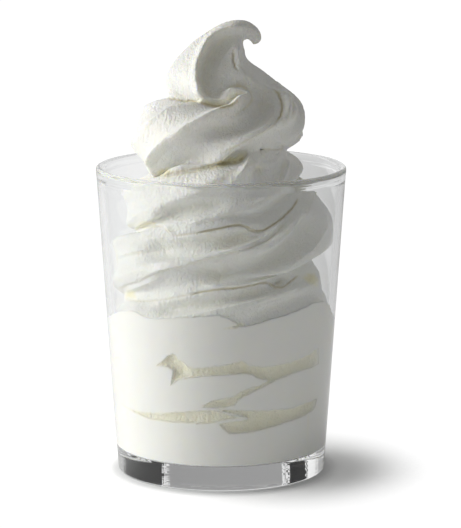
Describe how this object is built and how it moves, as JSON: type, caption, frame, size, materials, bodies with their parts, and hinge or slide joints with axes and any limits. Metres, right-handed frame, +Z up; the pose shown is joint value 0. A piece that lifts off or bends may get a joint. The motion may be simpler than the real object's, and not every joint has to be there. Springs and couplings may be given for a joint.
{
  "type": "ice cream sundae",
  "caption": "Plain soft-serve ice cream swirl with a hooked tip, piled up in a clear straight-sided glass tumbler with a thick base.",
  "frame": {"origin": "centre of the glass's underside, at the bottom of the whole", "axes": "+Z up the axis of the glass, -Y towards the viewer of the picture, +X to the viewer's right"},
  "size_m": [0.087, 0.087, 0.1584],
  "materials": {
    "clear_glass": "clear polished glass",
    "vanilla_cream": "matt, fine-grained frozen cream"
  },
  "bodies": {
    "root": {"glass": "clear_glass", "ice_cream": "vanilla_cream"}
  },
  "joints": []
}
